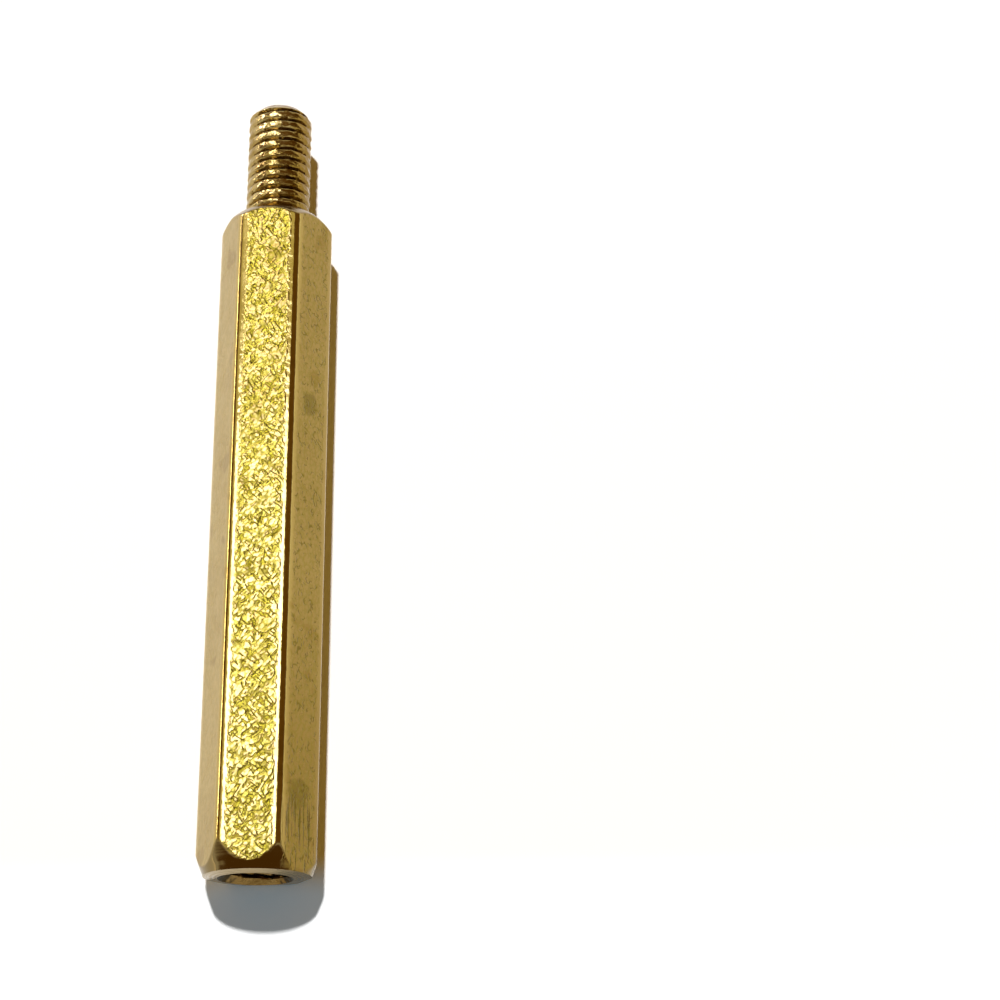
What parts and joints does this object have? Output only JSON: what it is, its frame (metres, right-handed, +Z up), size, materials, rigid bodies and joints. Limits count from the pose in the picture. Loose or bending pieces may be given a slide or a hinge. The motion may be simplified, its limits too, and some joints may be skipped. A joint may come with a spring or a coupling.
{
  "type": "hex standoff",
  "caption": "Male-female hex standoff turned from brass bar: a hexagon with a chamfered tapped end, and a shoulder with a plain neck and a threaded stud.",
  "frame": {"origin": "on the axis, in the plane of the shoulder that seats on a board", "axes": "+Y along the axis towards the stud, +Z up and normal to the top flat; the part lies on the opposite flat"},
  "size_m": [0.0052, 0.0357, 0.0044],
  "materials": {
    "brass": "bright drawn brass with a fine orange-peel texture on the flats and smooth turned ends"
  },
  "bodies": {
    "root": {"hex_standoff": "brass"}
  },
  "joints": []
}
